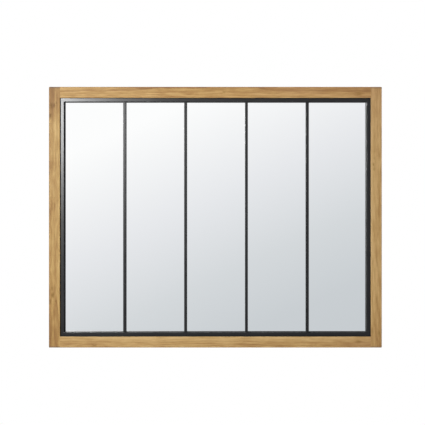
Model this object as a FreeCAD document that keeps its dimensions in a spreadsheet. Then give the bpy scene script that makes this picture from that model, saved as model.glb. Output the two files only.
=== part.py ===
"""Window mirror: a softwood frame, a steel window grid, one mirror sheet and its wall hangers.

Millimetres. X runs to the right, Z up and Y from the viewer towards the wall.
The origin is the middle of the wall plane that the four bumpers touch.
"""

import FreeCAD, Part
import math
import os
import re

import Sketcher

# Each driving size is written once here and read by name everywhere else.
SIZES = {
    # timber frame
    "overall_width": 1200,
    "overall_height": 940,
    "timber_face": 40,
    "timber_depth": 32,
    "outer_arris": 3,
    "inner_arris": 2,
    # corner dowels
    "dowel_diameter": 8,
    "dowel_length": 40,
    "dowel_chamfer": 1,
    "dowel_end_gap": 1,
    "glue_gap": 0.1,
    # steel perimeter of the window grid
    "steel_reveal": 13,
    "tube_face": 20,
    "tube_depth": 15,
    "tube_wall": 1.5,
    "tube_corner": 1.2,
    "grid_clearance": 1,
    # upright glazing bars
    "bar_count": 4,
    "bar_shift": 2.2,
    "bar_face": 10,
    "bar_depth": 10,
    "bar_wall": 1,
    "bar_corner": 0.8,
    # mirror sheet, its setting blocks and cushion strips
    "glass_thickness": 4,
    "glass_clearance": 1.5,
    "glass_arris": 0.6,
    "block_length": 60,
    "block_end": 320,
    "foam_thickness": 2,
    "foam_face": 12,
    "foam_inset": 4,
    "bar_foam_face": 8,
    # back panel and its screws
    "panel_thickness": 3,
    "panel_land": 10,
    "panel_clearance": 1,
    "rail_screw_count": 5,
    "rail_screw_end": 100,
    "stile_screw_count": 4,
    "stile_screw_end": 110,
    "panel_screw_shank": 3,
    "panel_screw_head": 6,
    "panel_screw_length": 14,
    "screw_tip": 3,
    "screw_gap": 0.1,
    # hanger straps, their rings and screws
    "hanger_drop": 220,
    "hanger_edge": 12,
    "strap_width": 14,
    "strap_thickness": 1.5,
    "strap_corner": 4,
    "strap_hole_pitch": 16,
    "strap_tail": 8,
    "ring_wire": 3,
    "ring_play": 0.25,
    "ring_side_play": 0.5,
    "ring_bend": 2,
    "ring_leg": 8,
    "ring_screw_gap": 6,
    "hanger_screw_shank": 3.5,
    "hanger_screw_head": 7,
    "hanger_head_top": 4.2,
    "hanger_head_rise": 2.2,
    "hanger_screw_length": 18,
    # wall bumpers
    "bumper_height": 8,
    "bumper_foot": 14,
    "bumper_face": 10,
    "bumper_round": 1.5,
    "bumper_edge": 11,
    "bumper_drop": 30,
}

# Depths are counted from the front of the timber, where the stack of pieces begins.
LIP = "(timber_depth - tube_depth - glass_thickness - foam_thickness - panel_thickness)"
GLASS_FRONT = f"({LIP} + tube_depth)"
GLASS_BACK = f"({GLASS_FRONT} + glass_thickness)"
PANEL_FRONT = "(timber_depth - panel_thickness)"
FRONT_PLANE = "(-bumper_height - timber_depth)"
BACK_PLANE = "(-bumper_height)"

# Distances from the frame's outer edge, alike on all four sides.
REBATE = "(tube_face - steel_reveal + grid_clearance)"
REBATE_EDGE = f"(timber_face - {REBATE})"
PANEL_EDGE = f"({REBATE_EDGE} - panel_land)"
PANEL_SCREW_EDGE = f"({REBATE_EDGE} - panel_land / 2)"
GRID_EDGE = f"({REBATE_EDGE} + grid_clearance)"
SIGHT_EDGE = "(timber_face + steel_reveal)"
GLASS_EDGE = f"({REBATE_EDGE} + glass_clearance)"
FOAM_EDGE = f"({GLASS_EDGE} + foam_inset)"

# The two dowels of a joint share the solid width of the timber evenly.
DOWEL_WEB = f"(({REBATE_EDGE} - 2 * dowel_diameter) / 3)"
OUTER_DOWEL = f"({DOWEL_WEB} + dowel_diameter / 2)"
INNER_DOWEL = f"({OUTER_DOWEL} + {DOWEL_WEB} + dowel_diameter)"

# The strap curls round the ring's straight side, and its screws stand clear below the hanging ring.
CURL_BORE = "(ring_wire / 2 + ring_play)"
CURL_OUTSIDE = f"({CURL_BORE} + strap_thickness)"
RING_HALF = "(strap_width / 2 + ring_side_play + ring_wire / 2)"
RING_DROP = f"(ring_leg + {RING_HALF} + ring_wire / 2)"
UPPER_HOLE = f"({RING_DROP} + ring_screw_gap + hanger_screw_head / 2)"
LOWER_HOLE = f"({UPPER_HOLE} + strap_hole_pitch)"
STRAP_LENGTH = f"({LOWER_HOLE} + strap_tail)"
HANGER_LEVEL = "(overall_height / 2 - hanger_drop)"
HANGER_AXIS_DEPTH = f"({BACK_PLANE} + {CURL_OUTSIDE})"

V = FreeCAD.Vector
doc = FreeCAD.newDocument("window_mirror")
sheet = doc.addObject("Spreadsheet::Sheet", "Sizes")
for row, (alias, value) in enumerate(SIZES.items(), start=1):
    sheet.set(f"A{row}", alias)
    sheet.set(f"B{row}", str(value))
    sheet.setAlias(f"B{row}", alias)
doc.recompute()
parts = []


def sized(rule):
    """Turn a rule in plain size names into an expression on the sheet."""
    return re.sub(r"[a-z_]+", lambda word: f"Sizes.{word[0]}" if word[0] in SIZES else word[0], rule)


def number(rule):
    """The present value of a rule."""
    return float(sheet.evalExpression(sized(rule)))


def inset(overall, edge):
    """Half of an overall size, less a distance from the outer edge."""
    return f"({overall} / 2 - {edge})"


def row_of(count, overall, end):
    """Rules for the places of evenly spaced screws along one side of the frame.

    The first and the last stand at a named distance from the frame's ends.
    """
    last = int(number(count)) - 1
    return [f"(({overall} - 2 * {end}) * {2 * i - last} / {2 * last})" for i in range(last + 1)]


def rail_row():
    """Places of the back panel's screws along a rail."""
    return row_of("rail_screw_count", "overall_width", "rail_screw_end")


def stile_row():
    """Places of the back panel's screws along a stile."""
    return row_of("stile_screw_count", "overall_height", "stile_screw_end")


def keep(thing, label):
    """Name a finished piece, which is written to a file of that name."""
    thing.Label = label
    parts.append(thing)
    return thing


def place(thing, x="0", y="0", z="0", turn=0, axis=V(0, 1, 0)):
    """Turn a piece about an axis and bind its place to the sheet."""
    thing.Placement = FreeCAD.Placement(V(), FreeCAD.Rotation(axis, turn))
    for name, rule in zip("xyz", (x, y, z)):
        thing.setExpression(f"Placement.Base.{name}", sized(rule))
    return thing


def new_body(name):
    return doc.addObject("PartDesign::Body", name)


def plane(body, role):
    """One of a body's own origin planes or axes."""
    return next(f for f in body.Origin.OriginFeatures if f.Role == role)


def sketch_on(body, role, name, level="0"):
    """A sketch on an origin plane, lifted along that plane's axis to a level."""
    sketch = body.newObject("Sketcher::SketchObject", name)
    sketch.AttachmentSupport = [(plane(body, role), "")]
    sketch.MapMode = "FlatFace"
    side = "-" if role == "XZ_Plane" else ""
    sketch.setExpression("AttachmentOffset.Base.z", sized(f"{side}({level})"))
    return sketch


def hold(sketch, kind, *where, rule):
    """Add a dimension to a sketch and bind it to the sheet."""
    index = sketch.addConstraint(Sketcher.Constraint(kind, *where, number(rule)))
    sketch.setExpression(f"Constraints[{index}]", sized(rule))


def outline(sketch, corners):
    """Add a closed outline with straight sides through corners given as rules."""
    points = [V(number(x), number(y), 0) for x, y in corners]
    first = sketch.GeometryCount
    count = len(points)
    for i, point in enumerate(points):
        sketch.addGeometry(Part.LineSegment(point, points[(i + 1) % count]))
    for i, (x, y) in enumerate(corners):
        sketch.addConstraint(Sketcher.Constraint("Coincident", first + i, 2, first + (i + 1) % count, 1))
        hold(sketch, "DistanceX", -1, 1, first + i, 1, rule=x)
        hold(sketch, "DistanceY", -1, 1, first + i, 1, rule=y)


def rectangle(sketch, left, low, right, high):
    outline(sketch, [(left, low), (right, low), (right, high), (left, high)])


def circles(sketch, places, diameter):
    """Add circles of one diameter at places given as rules."""
    for x, y in places:
        middle = V(number(x), number(y), 0)
        index = sketch.addGeometry(Part.Circle(middle, V(0, 0, 1), number(diameter) / 2))
        hold(sketch, "DistanceX", -1, 1, index, 3, rule=x)
        hold(sketch, "DistanceY", -1, 1, index, 3, rule=y)
        hold(sketch, "Diameter", index, rule=diameter)


def feature(body, kind, name, sketch, length=None, **settings):
    """Add a pad, pocket or revolution of a sketch, and check that it changes the volume."""
    before = body.Shape.Volume if body.Tip else 0
    made = body.newObject(f"PartDesign::{kind}", name)
    made.Profile = sketch
    if length:
        made.setExpression("Length", sized(length))
    for setting, value in settings.items():
        setattr(made, setting, value)
    doc.recompute()
    if abs(body.Shape.Volume - before) < 1e-3:
        raise ValueError(f"{body.Name}.{name} changes nothing")
    return made


def mirrored(body, original, role):
    """Repeat a feature on the other side of an origin plane."""
    made = body.newObject("PartDesign::Mirrored", f"{original.Name}_mirrored")
    made.Originals = [original]
    made.MirrorPlane = (plane(body, role), [""])
    body.Tip = made
    doc.recompute()
    return made


def ease(body, kind, name, size, wanted):
    """Fillet or chamfer the straight edges that a test picks by their ends."""
    names = []
    for i, edge in enumerate(body.Shape.Edges, start=1):
        ends = [vertex.Point for vertex in edge.Vertexes]
        if len(ends) == 2 and isinstance(edge.Curve, Part.Line) and wanted(*ends):
            names.append(f"Edge{i}")
    base = body.Tip
    made = body.newObject(f"PartDesign::{kind}", name)
    made.Base = (base, names)
    made.setExpression("Radius" if kind == "Fillet" else "Size", sized(size))
    doc.recompute()
    return made


def near(value, rule):
    return abs(value - number(rule)) < 1e-6


def along(axis, first, second):
    """True where an edge between two points runs along an axis, given as 0, 1 or 2."""
    return all(abs(first[i] - second[i]) < 1e-6 for i in range(3) if i != axis)


def group(label, master, places, turn=0, axis=V(0, 1, 0)):
    """Place copies of one fastener and keep them as a group of separate solids."""
    copies = []
    for i, (x, y, z) in enumerate(places, start=1):
        link = doc.addObject("App::Link", f"{label}_{i}")
        link.LinkedObject = master
        copies.append(place(link, x, y, z, turn, axis))
    made = doc.addObject("Part::Compound", label)
    made.Links = copies
    return keep(made, label)


def strip(label, x, y, z, width, depth, height):
    """A plain block cut from sheet or strip, placed by its middle in X and Z and by its front in Y."""
    block = doc.addObject("Part::Box", label)
    for side, rule in (("Length", width), ("Width", depth), ("Height", height)):
        block.setExpression(side, sized(rule))
    return keep(place(block, f"{x} - {width} / 2", y, f"{z} - {height} / 2"), label)


def ease_inner_arris(body, length):
    """Round a timber's front arris next to the steel, over the length that stays in view."""
    far, radius = number("timber_face"), number("inner_arris")
    waste = sketch_on(body, "XY_Plane", "arris_waste")
    waste.addGeometry(Part.LineSegment(V(far - radius, 0, 0), V(far, 0, 0)))
    waste.addGeometry(Part.LineSegment(V(far, 0, 0), V(far, radius, 0)))
    round_over = Part.Circle(V(far - radius, radius, 0), V(0, 0, 1), radius)
    waste.addGeometry(Part.ArcOfCircle(round_over, -math.pi / 2, 0))
    ties = [("Coincident", 0, 2, 1, 1), ("Tangent", 0, 1, 2, 1), ("Tangent", 1, 2, 2, 2)]
    ties += [("Horizontal", 0), ("Vertical", 1), ("PointOnObject", 0, 2, -1)]
    for tie in ties:
        waste.addConstraint(Sketcher.Constraint(*tie))
    hold(waste, "DistanceX", -1, 1, 0, 2, rule="timber_face")
    hold(waste, "Radius", 2, rule="inner_arris")
    feature(body, "Pocket", "inner_arris", waste, length, Midplane=True)


def stile(label, hand):
    """An upright, drawn as the left one: X from its outer face, Y from its front, Z from its middle.

    The right stile is the same timber turned half a turn about Y, so its hanger is drawn on the
    other half (hand -1).
    """
    body = new_body(label)
    section = sketch_on(body, "XY_Plane", "section")
    rectangle(section, "0", "0", "timber_face", "timber_depth")
    feature(body, "Pad", "timber", section, "overall_height", Midplane=True)
    steps = (("glass_rebate", REBATE_EDGE, LIP), ("panel_rebate", PANEL_EDGE, PANEL_FRONT))
    for name, edge, level in steps:
        stop = inset("overall_height", edge)
        plan = sketch_on(body, "XZ_Plane", f"{name}_plan", level)
        rectangle(plan, edge, f"-{stop}", "timber_face", stop)
        feature(body, "Pocket", name, plan, Type="ThroughAll")
    levels = [inset("overall_height", edge) for edge in (OUTER_DOWEL, INNER_DOWEL)]
    marks = sketch_on(body, "YZ_Plane", "dowel_marks", "timber_face")
    bored = [("timber_depth / 2", f"{sign}{level}") for sign in ("", "-") for level in levels]
    circles(marks, bored, "(dowel_diameter + 2 * glue_gap)")
    feature(body, "Pocket", "dowel_bores", marks, "dowel_length / 2 + dowel_end_gap")
    ledge = sketch_on(body, "XZ_Plane", "panel_screw_marks", PANEL_FRONT)
    places = [(PANEL_SCREW_EDGE, z) for z in stile_row()]
    circles(ledge, places, "(panel_screw_shank + 2 * screw_gap)")
    depth = "panel_screw_length - panel_thickness + screw_gap"
    feature(body, "Pocket", "panel_pilots", ledge, depth, Reversed=True)
    back = sketch_on(body, "XZ_Plane", "hanger_screw_marks", "timber_depth")
    drops = (UPPER_HOLE, LOWER_HOLE)
    places = [("hanger_edge", f"{hand} * ({HANGER_LEVEL} - {drop})") for drop in drops]
    circles(back, places, "(hanger_screw_shank + 2 * screw_gap)")
    depth = "hanger_screw_length - strap_thickness + screw_gap"
    feature(body, "Pocket", "hanger_pilots", back, depth, Reversed=True)
    ease_inner_arris(body, "overall_height - 2 * timber_face")

    def outer_arris(first, second):
        outside = abs(first.x) < 1e-6 and abs(second.x) < 1e-6
        in_front = abs(first.y) < 1e-6 and abs(second.y) < 1e-6
        at_end = near(abs(first.z), "overall_height / 2") and near(abs(second.z), "overall_height / 2")
        return outside + in_front + (at_end and not along(2, first, second)) == 2

    ease(body, "Fillet", "outer_arrises", "outer_arris", outer_arris)
    side = f"{-hand} * overall_width / 2"
    return keep(place(body, side, FRONT_PLANE, "0", 0 if hand > 0 else 180), label)


def rail(label, hand):
    """A rail, drawn on end: X from its outer face, Y from its front, Z along its length."""
    body = new_body(label)
    section = sketch_on(body, "XY_Plane", "section")
    steps = [("timber_face", LIP), (REBATE_EDGE, LIP), (REBATE_EDGE, PANEL_FRONT)]
    steps += [(PANEL_EDGE, PANEL_FRONT), (PANEL_EDGE, "timber_depth"), ("0", "timber_depth")]
    outline(section, [("0", "0"), ("timber_face", "0"), *steps])
    length = "overall_width - 2 * timber_face"
    feature(body, "Pad", "timber", section, length, Midplane=True)
    marks = sketch_on(body, "XY_Plane", "dowel_marks", inset("overall_width", "timber_face"))
    places = [(edge, "timber_depth / 2") for edge in (OUTER_DOWEL, INNER_DOWEL)]
    circles(marks, places, "(dowel_diameter + 2 * glue_gap)")
    bores = feature(body, "Pocket", "dowel_bores", marks, "dowel_length / 2 + dowel_end_gap")
    mirrored(body, bores, "XY_Plane")
    ledge = sketch_on(body, "XZ_Plane", "panel_screw_marks", PANEL_FRONT)
    places = [(PANEL_SCREW_EDGE, z) for z in rail_row()]
    circles(ledge, places, "(panel_screw_shank + 2 * screw_gap)")
    depth = "panel_screw_length - panel_thickness + screw_gap"
    feature(body, "Pocket", "panel_pilots", ledge, depth, Reversed=True)
    ease_inner_arris(body, length)

    def outer_arris(first, second):
        return abs(first.x) < 1e-6 and abs(first.y) < 1e-6 and along(2, first, second)

    ease(body, "Fillet", "outer_arris", "outer_arris", outer_arris)
    return keep(place(body, "0", FRONT_PLANE, f"{hand} * overall_height / 2", hand * 90), label)


def hollow(body, face, depth, wall, corner, length):
    """Pad a length of rectangular tube with rounded outer corners."""
    section = sketch_on(body, "XY_Plane", "section")
    rectangle(section, "0", "0", face, depth)
    rectangle(section, wall, wall, f"({face} - {wall})", f"({depth} - {wall})")
    feature(body, "Pad", "tube", section, length, Midplane=True)

    def outer_corner(first, second):
        in_face = abs(first.x) < 1e-6 or near(first.x, face)
        in_depth = abs(first.y) < 1e-6 or near(first.y, depth)
        return in_face and in_depth and along(2, first, second)

    ease(body, "Fillet", "corners", corner, outer_corner)


def grid_tube(label, overall, x, z, turn):
    """A side of the steel perimeter: a tube mitred at both ends, drawn upright, X from its outer face."""
    body = new_body(label)
    half = inset(overall, GRID_EDGE)
    hollow(body, "tube_face", "tube_depth", "tube_wall", "tube_corner", f"2 * {half}")
    waste = sketch_on(body, "XZ_Plane", "mitre_waste")
    outline(waste, [("0", half), ("tube_face", f"({half} - tube_face)"), ("tube_face", half)])
    mitre = feature(body, "Pocket", "mitre", waste, Type="ThroughAll", Midplane=True)
    mirrored(body, mitre, "XY_Plane")
    return keep(place(body, x, f"{FRONT_PLANE} + {LIP}", z, turn), label)


def bar_place(i):
    """The middle of glazing bar number i.

    The bars are spaced for panes of one width, and the whole set stands a little right of the middle.
    """
    sight = f"(overall_width - 2 * {SIGHT_EDGE})"
    pane = f"({sight} - bar_count * bar_face) / (bar_count + 1)"
    return f"({i} * {pane} + {i - 0.5} * bar_face - {sight} / 2 + bar_shift)"


def glazing_bar(label, i):
    """An upright square tube that lies on the glass and butts against the perimeter at both ends."""
    body = new_body(label)
    hollow(body, "bar_face", "bar_depth", "bar_wall", "bar_corner", f"overall_height - 2 * {SIGHT_EDGE}")
    y = f"{FRONT_PLANE} + {GLASS_FRONT} - bar_depth"
    return keep(place(body, f"{bar_place(i)} - bar_face / 2", y), label)


def mirror_glass():
    """One mirror sheet with ground arrises."""
    body = new_body("mirror_glass")
    plan = sketch_on(body, "XZ_Plane", "plan")
    right, high = inset("overall_width", GLASS_EDGE), inset("overall_height", GLASS_EDGE)
    rectangle(plan, f"-{right}", f"-{high}", right, high)
    feature(body, "Pad", "sheet", plan, "glass_thickness", Reversed=True)
    ease(body, "Chamfer", "arrises", "glass_arris", lambda first, second: not along(1, first, second))
    keep(place(body, y=f"{FRONT_PLANE} + {GLASS_FRONT}"), "mirror_glass")


def setting_blocks():
    """Two rubber blocks between the glass's lower edge and the bottom rail."""
    level = f"({REBATE_EDGE} + glass_clearance / 2 - overall_height / 2)"
    depth = f"{FRONT_PLANE} + {GLASS_FRONT}"
    for name, sign in (("left", "-"), ("right", "")):
        x = f"{sign}{inset('overall_width', 'block_end')}"
        size = ("block_length", "glass_thickness", "glass_clearance")
        strip(f"setting_block_{name}", x, depth, level, *size)


def foam_strips():
    """Cushion strips that press the glass onto the steel, round the edge and behind each bar."""
    depth = f"{FRONT_PLANE} + {GLASS_BACK}"
    across = inset("overall_width", f"({FOAM_EDGE} + foam_face / 2)")
    up = inset("overall_height", f"({FOAM_EDGE} + foam_face / 2)")
    wide = f"(overall_width - 2 * {FOAM_EDGE})"
    tall = f"(overall_height - 2 * {FOAM_EDGE} - 2 * foam_face)"
    for name, sign in (("top", ""), ("bottom", "-")):
        strip(f"foam_strip_{name}", "0", depth, f"{sign}{up}", wide, "foam_thickness", "foam_face")
    for name, sign in (("left", "-"), ("right", "")):
        strip(f"foam_strip_{name}", f"{sign}{across}", depth, "0", "foam_face", "foam_thickness", tall)
    for i in range(1, int(number("bar_count")) + 1):
        strip(f"foam_strip_bar_{i}", bar_place(i), depth, "0", "bar_foam_face", "foam_thickness", tall)


def panel_screw_places():
    """Places of the back panel's screws along the two rails and the two stiles."""
    right = inset("overall_width", PANEL_SCREW_EDGE)
    high = inset("overall_height", PANEL_SCREW_EDGE)
    rails = [(x, f"{sign}{high}") for sign in ("", "-") for x in rail_row()]
    return rails + [(f"{sign}{right}", z) for sign in ("", "-") for z in stile_row()]


def back_panel():
    """A thin board let into the back, with countersunk screw holes."""
    body = new_body("back_panel")
    plan = sketch_on(body, "XZ_Plane", "plan")
    edge = f"({PANEL_EDGE} + panel_clearance)"
    right, high = inset("overall_width", edge), inset("overall_height", edge)
    rectangle(plan, f"-{right}", f"-{high}", right, high)
    feature(body, "Pad", "board", plan, "panel_thickness")
    marks = sketch_on(body, "XZ_Plane", "screw_marks")
    circles(marks, panel_screw_places(), "panel_screw_shank")
    doc.recompute()
    before = body.Shape.Volume
    holes = body.newObject("PartDesign::Hole", "screw_holes")
    holes.Profile = marks
    doc.recompute()
    holes.DepthType = "ThroughAll"
    holes.Reversed = True
    holes.setExpression("Diameter", sized("panel_screw_shank + 2 * screw_gap"))
    holes.HoleCutType = "Countersink"
    holes.HoleCutCustomValues = True
    holes.setExpression("HoleCutDiameter", sized("panel_screw_head + 2 * screw_gap"))
    holes.HoleCutCountersinkAngle = 90
    doc.recompute()
    if body.Shape.Volume > before - 1:
        raise ValueError("the panel's screw holes cut nothing")
    keep(place(body, y=BACK_PLANE), "back_panel")


def turned(name, corners):
    """A body turned about Z from a half section of radius and height, both given as rules."""
    body = new_body(name)
    half = sketch_on(body, "XZ_Plane", "half_section")
    outline(half, corners)
    feature(body, "Revolution", "turning", half, ReferenceAxis=(half, ["V_Axis"]), Angle=360)
    return body


def corner_dowels():
    """Two dowels in each butt joint, with chamfered ends, turned to lie along the rails."""
    radius, end = "dowel_diameter / 2", "dowel_length / 2"
    narrow = f"({radius} - dowel_chamfer)"
    shape = [("0", f"-{end}"), (narrow, f"-{end}"), (radius, f"(dowel_chamfer - {end})")]
    shape += [(radius, f"({end} - dowel_chamfer)"), (narrow, end), ("0", end)]
    joint = inset("overall_width", "timber_face")
    levels = [inset("overall_height", edge) for edge in (OUTER_DOWEL, INNER_DOWEL)]
    depth = f"{FRONT_PLANE} + timber_depth / 2"
    signs = ("", "-")
    places = [(f"{h}{joint}", depth, f"{v}{level}") for h in signs for v in signs for level in levels]
    group("corner_dowels", turned("dowel", shape), places, turn=90)


def back_panel_screws():
    """Countersunk screws, drawn point down with the flat of the head at height 0."""
    head, shank = "panel_screw_head / 2", "panel_screw_shank / 2"
    shape = [("0", "0"), ("0", "-panel_screw_length"), (shank, "(screw_tip - panel_screw_length)")]
    shape += [(shank, f"({shank} - {head})"), (head, "0")]
    places = [(x, BACK_PLANE, z) for x, z in panel_screw_places()]
    group("back_panel_screws", turned("panel_screw", shape), places, turn=-90, axis=V(1, 0, 0))


def hanger_strap(label, x):
    """A steel strap whose upper end curls round the ring; drawn about the curl's axis, which is X."""
    body = new_body(label)
    bore, outside, low = number(CURL_BORE), number(CURL_OUTSIDE), -number(STRAP_LENGTH)
    sketch = sketch_on(body, "YZ_Plane", "curl")
    turn = (-math.pi / 2, math.pi)
    sketch.addGeometry(Part.LineSegment(V(-outside, low, 0), V(-outside, 0, 0)))
    sketch.addGeometry(Part.ArcOfCircle(Part.Circle(V(), V(0, 0, 1), outside), *turn))
    sketch.addGeometry(Part.LineSegment(V(0, -outside, 0), V(0, -bore, 0)))
    sketch.addGeometry(Part.ArcOfCircle(Part.Circle(V(), V(0, 0, 1), bore), *turn))
    sketch.addGeometry(Part.LineSegment(V(-bore, 0, 0), V(-bore, low, 0)))
    sketch.addGeometry(Part.LineSegment(V(-bore, low, 0), V(-outside, low, 0)))
    ties = [("Tangent", 0, 2, 1, 2), ("Coincident", 1, 1, 2, 1), ("Coincident", 2, 2, 3, 1)]
    ties += [("Tangent", 3, 2, 4, 1), ("Coincident", 4, 2, 5, 1), ("Coincident", 5, 2, 0, 1)]
    ties += [("Coincident", 1, 3, -1, 1), ("Coincident", 3, 3, -1, 1), ("Vertical", 0), ("Vertical", 4)]
    ties += [("Horizontal", 5), ("PointOnObject", 1, 1, -2), ("PointOnObject", 3, 1, -2)]
    for tie in ties:
        sketch.addConstraint(Sketcher.Constraint(*tie))
    hold(sketch, "Radius", 1, rule=CURL_OUTSIDE)
    hold(sketch, "Radius", 3, rule=CURL_BORE)
    hold(sketch, "DistanceY", 4, 2, -1, 1, rule=STRAP_LENGTH)
    feature(body, "Pad", "strap", sketch, "strap_width", Midplane=True)
    marks = sketch_on(body, "XZ_Plane", "screw_marks")
    holes = [("0", f"-{drop}") for drop in (UPPER_HOLE, LOWER_HOLE)]
    circles(marks, holes, "(hanger_screw_shank + 2 * screw_gap)")
    feature(body, "Pocket", "screw_holes", marks, Type="ThroughAll", Midplane=True)

    def tail_corner(first, second):
        return near(first.z, f"-{STRAP_LENGTH}") and along(1, first, second)

    ease(body, "Fillet", "tail_corners", "strap_corner", tail_corner)
    return keep(place(body, x, HANGER_AXIS_DEPTH, HANGER_LEVEL), label)


def hanger_ring(label, x):
    """A D-ring of round wire that hangs from its straight side, which is the axis it swings about."""
    body = new_body(label)
    half, bend, leg = number(RING_HALF), number("ring_bend"), number("ring_leg")
    path = sketch_on(body, "XZ_Plane", "wire_path")
    quarter = math.pi / 2
    right_bend = Part.Circle(V(half - bend, -bend, 0), V(0, 0, 1), bend)
    left_bend = Part.Circle(V(bend - half, -bend, 0), V(0, 0, 1), bend)
    bow = Part.Circle(V(0, -leg, 0), V(0, 0, 1), half)
    path.addGeometry(Part.LineSegment(V(0, 0, 0), V(half - bend, 0, 0)))
    path.addGeometry(Part.ArcOfCircle(right_bend, 0, quarter))
    path.addGeometry(Part.LineSegment(V(half, -bend, 0), V(half, -leg, 0)))
    path.addGeometry(Part.ArcOfCircle(bow, math.pi, 2 * math.pi))
    path.addGeometry(Part.LineSegment(V(-half, -leg, 0), V(-half, -bend, 0)))
    path.addGeometry(Part.ArcOfCircle(left_bend, quarter, math.pi))
    path.addGeometry(Part.LineSegment(V(bend - half, 0, 0), V(0, 0, 0)))
    ties = [("Tangent", 0, 2, 1, 2), ("Tangent", 1, 1, 2, 1), ("Tangent", 2, 2, 3, 2)]
    ties += [("Tangent", 3, 1, 4, 1), ("Tangent", 4, 2, 5, 2), ("Tangent", 5, 1, 6, 1)]
    ties += [("Coincident", 6, 2, 0, 1), ("Coincident", 0, 1, -1, 1), ("Horizontal", 0)]
    ties += [("Horizontal", 6), ("Vertical", 2), ("PointOnObject", 3, 3, -2), ("Equal", 1, 5)]
    for tie in ties:
        path.addConstraint(Sketcher.Constraint(*tie))
    hold(path, "Radius", 1, rule="ring_bend")
    hold(path, "Radius", 3, rule=RING_HALF)
    hold(path, "DistanceY", 3, 3, -1, 1, rule="ring_leg")
    wire = sketch_on(body, "YZ_Plane", "wire_section")
    circles(wire, [("0", "0")], "ring_wire")
    doc.recompute()
    pipe = body.newObject("PartDesign::AdditivePipe", "bent_wire")
    pipe.Profile = wire
    pipe.Spine = path
    doc.recompute()
    return keep(place(body, x, HANGER_AXIS_DEPTH, HANGER_LEVEL), label)


def hangers():
    """A strap and a ring on the back of each stile, and the pan-head screws that hold the straps."""
    right = inset("overall_width", "hanger_edge")
    for name, sign in (("left", "-"), ("right", "")):
        hanger_strap(f"hanger_strap_{name}", f"{sign}{right}")
        hanger_ring(f"hanger_ring_{name}", f"{sign}{right}")
    head, shank, rise = "hanger_screw_head / 2", "hanger_screw_shank / 2", "hanger_head_rise"
    shape = [("0", rise), ("0", "-hanger_screw_length"), (shank, "(screw_tip - hanger_screw_length)")]
    shape += [(shank, "0"), (head, "0"), (head, f"{rise} / 2"), ("hanger_head_top / 2", rise)]
    seat = f"{BACK_PLANE} + strap_thickness"
    drops = (UPPER_HOLE, LOWER_HOLE)
    sides = (f"-{right}", right)
    places = [(x, seat, f"{HANGER_LEVEL} - {drop}") for x in sides for drop in drops]
    group("hanger_screws", turned("hanger_screw", shape), places, turn=-90, axis=V(1, 0, 0))


def bumpers():
    """Four tapered rubber bumpers, whose flat faces meet the wall plane."""
    right = inset("overall_width", "bumper_edge")
    high = inset("overall_height", "bumper_drop")
    foot, face = "bumper_foot / 2", "bumper_face / 2"
    shape = [("0", "-bumper_height"), (foot, "-bumper_height"), (face, "0"), ("0", "0")]
    for level, up in (("upper", ""), ("lower", "-")):
        for side, out in (("left", "-"), ("right", "")):
            label = f"bumper_{level}_{side}"
            body = turned(label, shape)
            rim = [i for i, edge in enumerate(body.Shape.Edges, start=1) if is_rim(edge)]
            turning = body.Tip
            fillet = body.newObject("PartDesign::Fillet", "rim")
            fillet.Base = (turning, [f"Edge{i}" for i in rim])
            fillet.setExpression("Radius", sized("bumper_round"))
            keep(place(body, f"{out}{right}", "0", f"{up}{high}", -90, V(1, 0, 0)), label)


def is_rim(edge):
    """True for the circle round a bumper's wall face, drawn at height 0."""
    return isinstance(edge.Curve, Part.Circle) and abs(edge.Curve.Center.z) < 1e-6


def check_and_write():
    """Stop on any failed object or bad shape, then write every piece to its own file."""
    doc.recompute()
    failed = [thing.Name for thing in doc.Objects if {"Invalid", "Error"} & set(thing.State)]
    failed += [thing.Label for thing in parts if thing.Shape.isNull() or not thing.Shape.isValid()]
    if failed:
        raise RuntimeError(f"these did not build: {failed}")
    os.makedirs("parts", exist_ok=True)
    for thing in parts:
        thing.Shape.exportStep(f"parts/{thing.Label}.step")


stile("left_stile", 1)
stile("right_stile", -1)
rail("top_rail", 1)
rail("bottom_rail", -1)
corner_dowels()
grid_right, grid_high = inset("overall_width", GRID_EDGE), inset("overall_height", GRID_EDGE)
grid_tube("grid_tube_left", "overall_height", f"-{grid_right}", "0", 0)
grid_tube("grid_tube_top", "overall_width", "0", grid_high, 90)
grid_tube("grid_tube_right", "overall_height", grid_right, "0", 180)
grid_tube("grid_tube_bottom", "overall_width", "0", f"-{grid_high}", -90)
for bar in range(1, int(number("bar_count")) + 1):
    glazing_bar(f"glazing_bar_{bar}", bar)
mirror_glass()
setting_blocks()
foam_strips()
back_panel()
back_panel_screws()
hangers()
bumpers()
check_and_write()
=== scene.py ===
"""Looks for the window mirror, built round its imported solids.

Metres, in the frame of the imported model: X to the right, Z up and Y from the viewer to the wall.
Most solids keep their shapes and get their finishes here. The screws and the cushion strips are
modelled here in more detail, and stand for their solids.
"""

import logging
import math
from dataclasses import dataclass
from enum import Enum
from typing import Any, Callable, NamedTuple, Optional, Sequence, Union

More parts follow.
